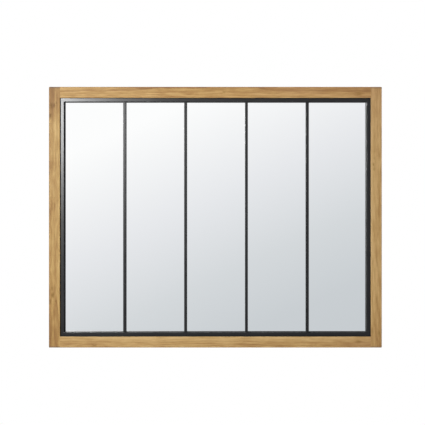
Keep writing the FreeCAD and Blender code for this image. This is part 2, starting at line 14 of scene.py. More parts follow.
import bpy
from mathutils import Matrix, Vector


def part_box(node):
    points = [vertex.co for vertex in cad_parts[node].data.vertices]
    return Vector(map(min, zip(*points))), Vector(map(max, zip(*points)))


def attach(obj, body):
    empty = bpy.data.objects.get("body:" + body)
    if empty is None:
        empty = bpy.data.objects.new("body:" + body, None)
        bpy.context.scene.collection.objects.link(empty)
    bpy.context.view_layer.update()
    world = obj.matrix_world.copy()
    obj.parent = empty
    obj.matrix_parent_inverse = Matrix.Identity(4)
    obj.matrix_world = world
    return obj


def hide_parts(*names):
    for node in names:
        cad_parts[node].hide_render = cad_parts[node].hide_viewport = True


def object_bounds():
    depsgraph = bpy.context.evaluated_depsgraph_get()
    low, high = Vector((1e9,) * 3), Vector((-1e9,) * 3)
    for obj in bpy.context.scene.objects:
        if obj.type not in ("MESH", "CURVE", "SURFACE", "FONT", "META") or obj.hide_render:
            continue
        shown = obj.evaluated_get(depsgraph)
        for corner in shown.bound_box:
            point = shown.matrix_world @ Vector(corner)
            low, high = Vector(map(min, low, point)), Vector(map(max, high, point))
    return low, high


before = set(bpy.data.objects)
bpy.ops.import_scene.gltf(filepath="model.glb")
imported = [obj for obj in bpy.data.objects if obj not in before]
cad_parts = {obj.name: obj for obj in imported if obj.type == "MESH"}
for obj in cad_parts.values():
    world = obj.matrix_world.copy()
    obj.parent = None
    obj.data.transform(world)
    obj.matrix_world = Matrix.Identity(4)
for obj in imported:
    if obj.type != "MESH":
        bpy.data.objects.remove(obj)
CAD_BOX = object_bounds()

LOG = logging.getLogger("window_mirror")
ROOT_BODY = "mirror"
SIDES = ("left", "right")

Piece = bpy.types.Object
Material = bpy.types.Material
Colour = tuple[float, float, float]
Number = Union["Value", float]
Tint = Union["Value", Colour]
Key = Union[int, str]
Profile = Sequence[tuple[float, float]]
Fade = tuple[float, float]
Triple = tuple[float, float, float]

WHITE: Colour = (1.0, 1.0, 1.0)


class Grain(Enum):
    """The way the fibres of a timber run."""

    UPRIGHT = "upright"
    LEVEL = "level"


class ScrewHead(Enum):
    """The two kinds of screw on the back."""

    COUNTERSUNK = "countersunk"
    PAN = "pan"


class Reach(Enum):
    """What a lamp shows in."""

    ALL = "all"
    MATT = "matt"
    GLOSS = "gloss"


class Value:
    """One output socket, which takes part in sums as a plain number does."""

    def __init__(self, graph: "Graph", socket: Optional[bpy.types.NodeSocket]) -> None:
        """Keep an output socket and the graph that new nodes go into."""
        self.graph = graph
        self.socket = socket

    def math(self, operation: str, *others: Number) -> "Value":
        """The result of a Math node, whose further values are the others."""
        sockets = dict(enumerate((self, *others)))
        return self.graph.node("ShaderNodeMath", {"operation": operation}, sockets)

    def __add__(self, other: Number) -> "Value":
        """The sum."""
        return self.math("ADD", other)

    def __sub__(self, other: Number) -> "Value":
        """The difference."""
        return self.math("SUBTRACT", other)

    def __rsub__(self, other: Number) -> "Value":
        """The difference, with the number first."""
        return self.math("MULTIPLY_ADD", -1.0, other)

    def __mul__(self, other: Number) -> "Value":
        """The product."""
        return self.math("MULTIPLY", other)

    def __truediv__(self, other: Number) -> "Value":
        """The quotient."""
        return self.math("DIVIDE", other)

    def __rtruediv__(self, other: Number) -> "Value":
        """The quotient, with the number first."""
        return self.math("POWER", -1.0) * other

    def __pow__(self, power: Number) -> "Value":
        """The power."""
        return self.math("POWER", power)

    def __abs__(self) -> "Value":
        """The size without the sign."""
        return self.math("ABSOLUTE")

    __radd__ = __add__
    __rmul__ = __mul__

    def step(self, low: float, high: float) -> "Value":
        """A smooth rise from 0 at low to 1 at high, which may lie the other way round."""
        sockets = {"Value": self, "From Min": low, "From Max": high}
        return self.graph.node("ShaderNodeMapRange", {"interpolation_type": "SMOOTHSTEP"}, sockets)


class Spot(NamedTuple):
    """The three parts of a place or a direction."""

    x: Value
    y: Value
    z: Value


@dataclass(frozen=True)
class Noise:
    """Smooth noise about 0.5, with so many cells to a metre along each axis.

    The detail is the number of finer layers and the roughness their strength. The shift says which
    shares of a timber's seed move the noise along each axis.
    """

    counts: Triple
    detail: float = 2.0
    roughness: float = 0.5
    shift: Triple = (1, 0, 0)


class Graph:
    """The nodes of one material or of the world."""

    def __init__(self, tree: bpy.types.NodeTree) -> None:
        """Keep a node tree and empty it."""
        self.tree = tree
        tree.nodes.clear()

    @staticmethod
    def keyed(sockets: Any) -> dict[Key, bpy.types.NodeSocket]:
        """The sockets of a node by their numbers and by their identifiers."""
        return {**dict(enumerate(sockets)), **{socket.identifier: socket for socket in sockets}}

    def node(
        self,
        kind: str,
        settings: Optional[dict[str, Any]] = None,
        sockets: Optional[dict[Key, Any]] = None,
        output: Key = 0,
    ) -> Value:
        """Add any node.

        Args:
            kind: The node's type.
            settings: Its settings, which are set first.
            sockets: Numbers, colours or links for its inputs.
            output: The output that is wanted.

        Returns:
            That output, or an empty value where the node ends the graph.
        """
        made = self.tree.nodes.new(kind)
        for name, setting in (settings or {}).items():
            setattr(made, name, setting)
        inputs = self.keyed(made.inputs)
        for key, given in (sockets or {}).items():
            if isinstance(given, Value):
                self.tree.links.new(given.socket, inputs[key])
            elif inputs[key].type == "RGBA":
                inputs[key].default_value = (*given, 1.0)
            else:
                inputs[key].default_value = given
        return Value(self, self.keyed(made.outputs).get(output))

    def ramp(self, share: Value, stops: Sequence[tuple[float, Colour]]) -> Value:
        """A colour that runs through stops.

        Args:
            share: The place on the ramp, from 0 to 1.
            stops: Places and colours, in order.

        Returns:
            The colour.
        """
        made = self.node("ShaderNodeValToRGB", sockets={"Fac": share})
        elements = made.socket.node.color_ramp.elements
        while len(elements) < len(stops):
            elements.new(1.0)
        for element, (place, colour) in zip(elements, stops):
            element.position = place
            element.color = (*colour, 1.0)
        return made

    def split(self, vector: Value) -> Spot:
        """X, Y and Z of a vector."""
        first = self.node("ShaderNodeSeparateXYZ", sockets={"Vector": vector})
        return Spot(*(Value(self, part) for part in first.socket.node.outputs))

    def place(self) -> Spot:
        """X, Y and Z of the surface, in the piece's own frame."""
        return self.split(self.node("ShaderNodeTexCoord", output="Object"))

    def seen(self) -> Value:
        """Tell what the eye sees from what only lights the scene.

        Returns:
            1 where it is seen straight, mirrored or through glass, and 0 elsewhere.
        """
        total = self.node("ShaderNodeLightPath", output="Is Camera Ray")
        for ray in ("Is Glossy Ray", "Is Transmission Ray"):
            total = total.math("MAXIMUM", self.node("ShaderNodeLightPath", output=ray))
        return total

    def join(self, x: Number, y: Number, z: Number) -> Value:
        """A vector from its three parts."""
        return self.node("ShaderNodeCombineXYZ", sockets={0: x, 1: y, 2: z})

    def noise(self, point: Value, detail: float = 2.0, roughness: float = 0.5) -> Value:
        """Smooth noise about 0.5 at a point, with cells of one unit."""
        sockets = {"Vector": point, "Scale": 1.0, "Detail": detail, "Roughness": roughness}
        return self.node("ShaderNodeTexNoise", sockets=sockets)

    def blend(self, share: Number, first: Tint, second: Tint, way: str = "MIX") -> Value:
        """Mix two colours.

        Args:
            share: Share of the second colour.
            first: First colour.
            second: Second colour.
            way: The Mix node's blend type.

        Returns:
            The mixed colour.
        """
        settings = {"data_type": "RGBA", "blend_type": way}
        sockets = {"Factor_Float": share, "A_Color": first, "B_Color": second}
        return self.node("ShaderNodeMix", settings, sockets, "Result_Color")

    def pattern(self, noise: Noise, point: Optional[Value] = None, seed: float = 0.0) -> Value:
        """Lay noise over a surface.

        Args:
            noise: Its cells and its detail.
            point: The place that it follows, by default the place in the piece's own frame.
            seed: What moves it.

        Returns:
            The noise.
        """
        point = point or self.node("ShaderNodeTexCoord", output="Object")
        shift = [seed * share for share in noise.shift]
        sockets = {"Vector": point, "Location": shift, "Scale": noise.counts}
        moved = self.node("ShaderNodeMapping", sockets=sockets)
        return self.noise(moved, noise.detail, noise.roughness)


class Surface(Graph):
    """The graph of one material."""

    def __init__(self, name: str) -> None:
        """Start a material.

        Args:
            name: The material's name.
        """
        self.material = bpy.data.materials.new(name)
        self.material.use_nodes = True
        super().__init__(self.material.node_tree)

    def bump(self, height: Value, depth: float) -> Value:
        """A normal bumped by a height, of which 1 stands for the depth in metres."""
        return self.node("ShaderNodeBump", sockets={"Height": height, "Distance": depth})

    def finish(
        self, colour: Value, roughness: Value, normal: Optional[Value] = None,
        metallic: Number = 0.0, specular: float = 0.5,
    ) -> Material:
        """End the graph in a Principled shader.

        Args:
            colour: The base colour.
            roughness: The roughness.
            normal: The bumped normal, if there is one.
            metallic: How far it is metal.
            specular: Level of its plain shine.

        Returns:
            The material.
        """
        sockets = {"Base Color": colour, "Roughness": roughness, "Metallic": metallic}
        sockets["Specular IOR Level"] = specular
        if normal is not None:
            sockets["Normal"] = normal
        shader = self.node("ShaderNodeBsdfPrincipled", sockets=sockets)
        self.node("ShaderNodeOutputMaterial", sockets={"Surface": shader})
        return self.material


@dataclass(frozen=True)
class Knot:
    """A small knot that shows on a timber's face."""

    across: float
    along: float
    radius: float
    strength: float


@dataclass(frozen=True)
class Patch:
    """A stretch of a timber that is darker, or lighter where the depth is negative. Mostly stain; at
    the top of the left stile partly painted shade.
    """

    along: float
    reach: float
    depth: float


@dataclass(frozen=True)
class Board:
    """How one timber was cut from the tree and stained.

    The pith is the tree's heart, counted from the middle of the face and from its front. The seed is
    the timber's own number. How much darker the outer edge is than the middle is painted shade.
    The blush runs along the timber to where the wood is reddest.
    """

    node: str
    grain: Grain
    pith: tuple[float, float]
    seed: float
    figure: float
    darkness: float
    outer_edge_shade: float
    stain: Colour
    blush: Fade
    patches: tuple[Patch, ...]
    knots: tuple[Knot, ...]


class Timber(Surface):
    """The graph of one timber, with the place of a point in that timber."""

    def __init__(self, board: Board) -> None:
        """Find the directions and the edges of the timber.

        Args:
            board: How the timber was cut.
        """
        super().__init__(f"softwood_{board.node}")
        low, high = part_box(board.node)
        x, y, z = self.place()
        self.board = board
        self.upright = board.grain is Grain.UPRIGHT
        axis, length = (0, 2) if self.upright else (2, 0)
        middle = (low[axis] + high[axis]) / 2
        self.half = (high[axis] - low[axis]) / 2
        self.across = (x if self.upright else z) - middle
        self.along = z if self.upright else x
        self.depth = y - low.y
        self.from_inside = self.half + self.across * math.copysign(1.0, middle)
        self.from_end = high[length] - abs(self.along)
        self.from_arris = ((self.half - abs(self.across)) ** 2.0 + self.depth**2.0) ** 0.5
        self.grain = self.join(self.across, self.depth, self.along)

    def streaks(self, noise: Noise) -> Value:
        """Noise that follows the grain, counted across, behind and along the face."""
        return self.pattern(noise, self.grain, self.board.seed)


@dataclass(frozen=True)
class StainedSoftwood:
    """Honey-stained softwood with growth rings round a far pith, fibres, knots, and painted shade at
    the edges.

    Each fade says at which distance an effect begins and at which it is whole. The rings and the
    knots count that distance in shares of a ring's pitch and of a knot's radius.
    """

    pale: Colour = (0.655, 0.440, 0.190)
    honey: Colour = (0.535, 0.336, 0.124)
    amber: Colour = (0.385, 0.209, 0.072)
    umber: Colour = (0.285, 0.145, 0.048)
    red: Colour = (0.490, 0.252, 0.142)
    knot_stain: Colour = (0.500, 0.425, 0.220)
    end_brown: Colour = (0.160, 0.120, 0.095)
    edge_black: Colour = (0.012, 0.010, 0.008)
    honey_at: float = 0.30
    amber_at: float = 0.667
    redness: float = 0.45
    specular: float = 0.20
    dullness: float = 0.58
    ring_pitch: float = 0.0034
    late_rise: Fade = (0.30, 0.88)
    late_fall: Fade = (1.0, 0.93)
    band_count: float = 95.0
    wander: float = 0.010
    fibre_depth: float = 0.00012
    knot_length: float = 2.1
    knot_swell: float = 0.005
    knot_rim: Fade = (1.55, 0.35)
    knot_core: Fade = (0.70, 0.30)
    drift: Noise = Noise((5, 5, 1.5), shift=(0, 0, 1))
    sway: Noise = Noise((9, 9, 3.1))
    mottle: Noise = Noise((115, 115, 14), 5.0, 0.62)
    tone: Noise = Noise((30, 30, 2.4), shift=(0, 1, 0))
    fibre: Noise = Noise((2400, 2400, 17), 3.0, 0.6, (0, 0, 1))
    pore: Noise = Noise((2900, 2900, 120), 0.0)
    flush: Noise = Noise((24, 24, 5), shift=(1, 0, 1))
    knot_fade: Fade = (0.012, 0.002)
    outer_arris_shade_fade: Fade = (0.0045, 0.0010)
    wear_and_highlight_fade: Fade = (0.0032, 0.0008)
    end_fade: Fade = (0.0008, 0.0001)
    soaked_fade: Fade = (0.0090, 0.0010)
    reveal_fade: Fade = (0.0008, 0.0003)
    reveal_depth: Fade = (0.0014, 0.0021)

    def material(self, board: Board) -> Material:
        """Make the material of one timber.

        Args:
            board: How the timber was cut.

        Returns:
            The material.
        """
        timber = Timber(board)
        knots = self.knots(timber) * timber.depth.step(*self.knot_fade)
        radius = self.radius(timber) + knots * self.knot_swell
        rings = self.rings(timber, radius)
        banding = radius * self.band_count + board.seed
        band = timber.noise(timber.join(banding, timber.along * 0.5, board.seed), 1.0)
        mottle = timber.streaks(self.mottle)
        fibre = timber.streaks(self.fibre)
        pores = timber.streaks(self.pore).step(0.66, 0.76)
        figure = rings * 0.55 + (band - 0.5) * 1.2 + (mottle - 0.5) * board.figure
        colour = self.stained(timber, figure + (fibre - 0.5) * 1.1 + pores * 0.35)
        colour = timber.blend(knots, colour, self.knot_stain, "MULTIPLY")
        # Pale arrises: partly wear, partly painted highlight where the arris catches the light.
        wear_and_highlight = timber.from_arris.step(*self.wear_and_highlight_fade) * mottle.step(0.40, 0.65) * 0.25
        colour = self.edged(timber, colour, wear_and_highlight)
        uneven = (mottle - 0.5) * 0.20 - rings * 0.05 + wear_and_highlight * 0.2 + pores * 0.1
        height = rings * 0.35 + fibre * 0.65 - pores * 0.5 - knots * 0.5
        normal = timber.bump(height, self.fibre_depth)
        return timber.finish(colour, uneven + self.dullness, normal, specular=self.specular)

    def stained(self, timber: Timber, figure: Value) -> Value:
        """The wood under its stain, darker in patches, with painted shade towards the outer edge.

        Args:
            timber: The graph.
            figure: How dark the grain is by itself.

        Returns:
            The colour.
        """
        board = timber.board
        half = timber.half
        tone = timber.streaks(self.tone) - 0.5
        # Painted shade: the face darkens from its inner edge towards its outer edge.
        outward = timber.from_inside / half - 1
        # Painted shade: darker near the outer arris, where the rounded edge turns from the light.
        outer_arris_shade = timber.from_arris.step(*self.outer_arris_shade_fade) * timber.from_inside.step(half, half * 1.5)
        shade = figure + tone * 0.8 + outward * board.outer_edge_shade + outer_arris_shade * 0.22 + board.darkness
        for patch in board.patches:
            shade = shade + abs(timber.along - patch.along).step(patch.reach, 0.0) * patch.depth
        tints = (self.pale, self.honey, self.amber, self.umber)
        stops = list(zip((0.0, self.honey_at, self.amber_at, 1.0), tints))
        colour = timber.ramp(shade * self.amber_at, stops)
        colour = timber.blend(1.0, colour, board.stain, "MULTIPLY")
        flush = timber.streaks(self.flush).step(0.45, 0.68) * 0.5 + 0.5
        share = flush * timber.along.step(*board.blush) * self.redness
        return timber.blend(share, colour, self.red)

    def edged(self, timber: Timber, colour: Value, wear_and_highlight: Value) -> Value:
        """Add the edges: open ends, arrises paled by wear and painted highlight, and black rebate
        walls.

        Args:
            timber: The graph.
            colour: The colour so far.
            wear_and_highlight: How far the arris is paled, partly by wear and partly as painted
                highlight.

        Returns:
            The colour.
        """
        colour = timber.blend(timber.from_end.step(*self.end_fade) * 0.35, colour, self.amber)
        if timber.upright:
            soaked = timber.from_end.step(*self.soaked_fade) * 0.45
            colour = timber.blend(soaked, colour, self.end_brown)
        colour = timber.blend(wear_and_highlight, colour, self.pale)
        reveal = timber.from_inside.step(*self.reveal_fade) * timber.depth.step(*self.reveal_depth)
        return timber.blend(reveal, colour, self.edge_black)

    def radius(self, timber: Timber) -> Value:
        """Distance from the wandering pith.

        Args:
            timber: The graph.

        Returns:
            The distance.
        """
        drift = (timber.streaks(self.drift) - 0.5) * self.wander * 2.2
        sway = (timber.streaks(self.sway) - 0.5) * self.wander
        aside = timber.across - timber.board.pith[0] + drift
        behind = timber.depth - timber.board.pith[1] + sway
        return (aside**2.0 + behind**2.0) ** 0.5

    def rings(self, timber: Timber, radius: Value) -> Value:
        """Late wood of the growth rings, each with a weight of its own.

        Args:
            timber: The graph.
            radius: Distance from the pith.

        Returns:
            The strength of the late wood, from 0 to 1.
        """
        count = radius / self.ring_pitch
        part = count.math("FRACT")
        number = count.math("FLOOR")
        lot = timber.join(number * 3.7, number * 1.3, timber.board.seed)
        weight = timber.noise(lot, 0.0).step(0.30, 0.70)
        late = part.step(*self.late_rise) * part.step(*self.late_fall)
        return late * (weight * 0.75 + 0.25)

    def knots(self, timber: Timber) -> Value:
        """All knots of a timber, each a soft spot with a darker core.

        Args:
            timber: The graph.

        Returns:
            The strength of the knots, from 0 to 1.
        """
        point = timber.join(timber.across * 300, timber.along * 150, timber.board.seed)
        ragged = timber.noise(point) - 0.5
        spots = []
        for knot in timber.board.knots:
            aside = (timber.across - knot.across) / knot.radius
            up = (timber.along - knot.along) / (knot.radius * self.knot_length)
            reach = (aside**2.0 + up**2.0) ** 0.5 + ragged * 0.9
            spot = reach.step(*self.knot_rim) * 0.75 + reach.step(*self.knot_core) * 0.35
            spots.append(spot * knot.strength)
        return sum(spots[1:], spots[0]).math("MINIMUM", 1.0)


@dataclass(frozen=True)
class Beech:
    """Plain pale dowel wood, with its flecks along X."""

    pale: Colour = (0.620, 0.440, 0.270)
    dark: Colour = (0.420, 0.260, 0.140)
    dullness: float = 0.5
    fleck: Noise = Noise((120, 900, 900), 3.0, 0.6)
    fleck_depth: float = 0.0001

    def material(self) -> Material:
        """Make the material.

        Returns:
            The material.
        """
        surface = Surface("beech_dowel")
        fleck = surface.pattern(self.fleck)
        colour = surface.blend(fleck.step(0.48, 0.70), self.pale, self.dark)
        roughness = fleck * 0.2 + self.dullness
        normal = surface.bump(fleck, self.fleck_depth)
        return surface.finish(colour, roughness, normal)


@dataclass(frozen=True)
class BlackSteel:
    """Satin black paint on steel tube: a fine peel, duller walls and edges rubbed a little."""

    black: Colour = (0.0040, 0.0040, 0.0044)
    soft_black: Colour = (0.0070, 0.0070, 0.0076)
    weld_black: Colour = (0.004, 0.004, 0.004)
    rubbed: Colour = (0.050, 0.049, 0.047)
    sheen: float = 0.312
    dullness: float = 0.38
    specular: float = 0.335
    peel: Noise = Noise((850, 850, 850))
    cloud: Noise = Noise((11, 30, 11), 3.0)
    grit: Noise = Noise((3100, 3100, 3100), 0.0)
    peel_depth: float = 0.00002
    rub_fade: Fade = (0.0016, 0.0004)
    wall_fade: Fade = (0.0010, 0.0020)
    weld_fade: Fade = (0.0011, 0.0003)

    def material(
        self, name: str, front: float, arris: Callable[[Spot], Value], seam: Callable[[Spot], Value]
    ) -> Material:
        """Make the material of one kind of tube.

        Args:
            name: The material's name.
            front: Place of the tube's face along Y.
            arris: Gives the distance from the tube's front arris.
            seam: Gives the distance from the tube's welded joints.

        Returns:
            The material.
        """
        surface = Surface(name)
        spot = surface.place()
        peel = surface.pattern(self.peel)
        cloud = surface.pattern(self.cloud)
        grit = surface.pattern(self.grit)
        rub = arris(spot).step(*self.rub_fade) * peel.step(0.46, 0.66) * 0.35
        wall = (spot.y - front).step(*self.wall_fade)
        weld = seam(spot).step(*self.weld_fade)
        colour = surface.blend(cloud.step(0.3, 0.7), self.black, self.soft_black)
        colour = surface.blend(rub, colour, self.rubbed)
        colour = surface.blend(weld * 0.8, colour, self.weld_black)
        uneven = (cloud - 0.5) * 0.10 + (peel - 0.5) * 0.06 + rub * 0.15
        roughness = uneven + wall * self.dullness + self.sheen
        height = peel * 0.75 + grit * 0.25 - weld * 1.5
        normal = surface.bump(height, self.peel_depth)
        return surface.finish(colour, roughness, normal, specular=self.specular)


@dataclass(frozen=True)
class SilveredGlass:
    """A silvered sheet: clean in front, ground green edges and a painted back."""

    silver: Colour = (0.975, 0.982, 0.982)
    edge_green: Colour = (0.200, 0.330, 0.285)
    back_paint: Colour = (0.270, 0.290, 0.285)
    dark_paint: Colour = (0.200, 0.215, 0.210)
    film: Noise = Noise((5, 5, 5), 4.0, 0.6)
    grind: Noise = Noise((700, 700, 700))
    face_fade: Fade = (0.0003, 0.0001)

    def material(self, node: str) -> Material:
        """Make the material.

        Args:
            node: The sheet's node.

        Returns:
            The material.
        """
        low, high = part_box(node)
        surface = Surface("silvered_glass")
        depth = surface.place().y
        front = (depth - low.y).step(*self.face_fade)
        back = (high.y - depth).step(*self.face_fade)
        film = surface.pattern(self.film)
        grind = surface.pattern(self.grind)
        paint = surface.blend(grind * 0.5, self.back_paint, self.dark_paint)
        colour = surface.blend(back, self.edge_green, paint)
        colour = surface.blend(front, colour, self.silver)
        matt = back * 0.25 + grind * 0.15 + 0.30
        roughness = matt * (1 - front) + front * film.step(0.45, 0.80) * 0.012
        return surface.finish(colour, roughness, metallic=front)


@dataclass(frozen=True)
class Hardboard:
    """Brown fibreboard with matted fibres."""

    tan: Colour = (0.300, 0.182, 0.095)
    brown: Colour = (0.262, 0.155, 0.079)
    pale_fibre: Colour = (0.400, 0.265, 0.150)
    dark_fibre: Colour = (0.150, 0.082, 0.040)
    dullness: float = 0.62
    bend: Noise = Noise((60, 60, 60))
    cloud: Noise = Noise((7, 7, 7), 4.0)
    fibre_depth: float = 0.0001

    def material(self) -> Material:
        """Make the material.

        Returns:
            The material.
        """
        surface = Surface("hardboard")
        x, y, z = surface.place()
        bend = surface.pattern(self.bend) * 4.0
        upright = surface.noise(surface.join(x * 1500 + bend, y * 1500, z * 380 + bend))
        level = surface.noise(surface.join(x * 400 + bend, y * 1500, z * 1600 - bend))
        cloud = surface.pattern(self.cloud)
        colour = surface.blend(cloud.step(0.32, 0.68), self.brown, self.tan)
        colour = surface.blend(upright.step(0.60, 0.78) * 0.7, colour, self.pale_fibre)
        colour = surface.blend(level.step(0.62, 0.80) * 0.7, colour, self.dark_fibre)
        roughness = (cloud - 0.5) * 0.15 + upright * 0.15 + self.dullness
        normal = surface.bump(upright * 0.5 + level * 0.5, self.fibre_depth)
        return surface.finish(colour, roughness, normal)


@dataclass(frozen=True)
class ZincSteel:
    """Bright zinc plate with fine draw marks and dull patches."""

    bright: Colour = (0.680, 0.690, 0.700)
    dull: Colour = (0.455, 0.465, 0.480)
    sheen: float = 0.20
    drawn: Noise = Noise((5200, 5200, 420))
    patch: Noise = Noise((190, 190, 190), 3.0)
    mark_depth: float = 0.00002

    def material(self) -> Material:
        """Make the material.

        Returns:
            The material.
        """
        surface = Surface("zinc_plate")
        drawn = surface.pattern(self.drawn)
        patch = surface.pattern(self.patch)
        colour = surface.blend(patch.step(0.38, 0.68), self.bright, self.dull)
        roughness = patch.step(0.35, 0.70) * 0.16 + drawn * 0.12 + self.sheen
        normal = surface.bump(drawn * 0.7 + patch * 0.3, self.mark_depth)
        return surface.finish(colour, roughness, normal, metallic=1.0)


@dataclass(frozen=True)
class Rubber:
    """Dull dark rubber with a moulded grain and a dusty bloom."""

    dark: Colour = (0.030, 0.030, 0.032)
    bloom: Colour = (0.095, 0.094, 0.092)
    dullness: float = 0.58
    grain: Noise = Noise((2400, 2400, 2400))
    dust: Noise = Noise((260, 260, 260), 4.0, 0.6)
    grain_depth: float = 0.00006

    def material(self) -> Material:
        """Make the material.

        Returns:
            The material.
        """
        surface = Surface("rubber")
        grain = surface.pattern(self.grain)
        dust = surface.pattern(self.dust)
        colour = surface.blend(dust.step(0.45, 0.75) * 0.6, self.dark, self.bloom)
        roughness = dust * 0.18 + grain * 0.08 + self.dullness
        normal = surface.bump(grain, self.grain_depth)
        return surface.finish(colour, roughness, normal)


@dataclass(frozen=True)
class CushionFoam:
    """Grey open-cell foam tape."""

    grey: Colour = (0.115, 0.115, 0.122)
    pore: Colour = (0.028, 0.028, 0.030)
    dullness: float = 0.82
    cell_count: float = 1500.0
    cloud: Noise = Noise((90, 90, 90), 3.0)
    cell_depth: float = 0.00018

    def material(self) -> Material:
        """Make the material.

        Returns:
            The material.
        """
        surface = Surface("cushion_foam")
        point = surface.node("ShaderNodeTexCoord", output="Object")
        places = {"Vector": point, "Scale": self.cell_count}
        cell = surface.node("ShaderNodeTexVoronoi", {"feature": "F1"}, places)
        cloud = surface.pattern(self.cloud)
        colour = surface.blend(cell.step(0.5, 0.2) * 0.8, self.grey, self.pore)
        roughness = cloud * 0.15 + self.dullness
        normal = surface.bump(cell + cloud * 0.4, self.cell_depth)
        return surface.finish(colour, roughness, normal)


class Bench:
    """Modelling by hand: one new piece at a time, with everything else put aside."""

    @staticmethod
    def clear() -> None:
        """Leave edit mode and deselect everything."""
        active = bpy.context.view_layer.objects.active
        if active is not None and active.mode != "OBJECT":
            bpy.ops.object.mode_set(mode="OBJECT")
        bpy.ops.object.select_all(action="DESELECT")

    @classmethod
    def select(cls, piece: Piece) -> None:
        """Select one piece alone.

        Args:
            piece: The piece.
        """
        cls.clear()
        bpy.context.view_layer.objects.active = piece
        piece.select_set(True)

    @staticmethod
    def pick(piece: Piece, kind: str, wanted: Callable[[Any, Any], bool]) -> None:
        """Select faces or edges in edit mode, by a test.

        Args:
            piece: The piece in edit mode.
            kind: "FACE" or "EDGE".
            wanted: Takes the mesh and one face or edge.
        """
        bpy.ops.mesh.select_mode(type=kind)
        bpy.ops.mesh.select_all(action="DESELECT")
        bpy.ops.object.mode_set(mode="OBJECT")
        mesh = piece.data
        for item in mesh.polygons if kind == "FACE" else mesh.edges:
            item.select = wanted(mesh, item)
        bpy.ops.object.mode_set(mode="EDIT")

    @classmethod
    def turned(cls, name: str, profile: Profile, sides: int) -> Piece:
        """A round piece about Z, drawn out ring by ring from a disc.

        Args:
            name: The piece's name.
            profile: Radius and height of each ring, from the top down.
            sides: Number of sides.

        Returns:
            The piece, in edit mode with its last ring selected.
        """
        cls.clear()
        radius, level = profile[0]
        bpy.ops.mesh.primitive_circle_add(
            vertices=sides, radius=radius, fill_type="NGON", location=(0, 0, level)
        )
        piece = bpy.context.active_object
        piece.name = name
        bpy.ops.object.transform_apply(location=True)
        bpy.ops.object.mode_set(mode="EDIT")
        bpy.ops.mesh.select_all(action="SELECT")
        for new_radius, new_level in profile[1:]:
            bpy.ops.mesh.extrude_region_move(
                TRANSFORM_OT_translate={"value": (0, 0, new_level - level)}
            )
            share = new_radius / radius
            bpy.ops.transform.resize(value=(share, share, 1), center_override=(0, 0, new_level))
            radius, level = new_radius, new_level
        bpy.ops.mesh.select_all(action="SELECT")
        bpy.ops.mesh.normals_make_consistent(inside=False)
        return piece

    @classmethod
    def carve(cls, piece: Piece, cutter: Piece) -> None:
        """Cut one piece out of another and remove the cutter.

        Args:
            piece: The piece that is cut.
            cutter: What is taken out of it.
        """
        cls.select(piece)
        cut = piece.modifiers.new("recess", "BOOLEAN")
        cut.operation = "DIFFERENCE"
        cut.solver = "EXACT"
        cut.use_self = True
        cut.object = cutter
        bpy.ops.object.modifier_apply(modifier=cut.name)
        bpy.data.objects.remove(cutter)

    @classmethod
    def smooth(cls, piece: Piece, degrees: float) -> None:
        """Shade a piece smooth, apart from edges that turn by more than the degrees."""
        cls.select(piece)
        bpy.ops.object.shade_smooth_by_angle(angle=math.radians(degrees))

    @classmethod
    def copy(cls, piece: Piece, name: str, place: Vector) -> Piece:
        """Copy a piece with its own mesh and put its place into that mesh.

        Args:
            piece: The piece that is copied.
            name: The copy's name.
            place: Where the copy goes.

        Returns:
            The copy.
        """
        cls.select(piece)
        bpy.ops.object.duplicate(linked=False)
        made = bpy.context.active_object
        made.name = name
        made.location = place
        bpy.ops.object.transform_apply(location=True, rotation=True, scale=True)
        return made


def dress(material: Material, *nodes: str) -> None:
    """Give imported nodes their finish.

    Args:
        material: The finish.
        nodes: The names of the nodes.
    """
    for node in nodes:
        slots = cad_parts[node].data.materials
        slots.clear()
        slots.append(material)
        LOG.info("%s wears %s", node, material.name)


def settle(piece: Piece, body: str, nodes: Sequence[str], material: Material) -> None:
    """Give a new piece its finish, its body and the nodes that it stands for.

    Args:
        piece: The new piece.
        body: The body that it moves with.
        nodes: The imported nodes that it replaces.
        material: Its finish.
    """
    piece.data.materials.clear()
    piece.data.materials.append(material)
    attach(piece, body)
    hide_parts(*nodes)
    LOG.info("%s stands for %s", piece.name, ", ".join(nodes))


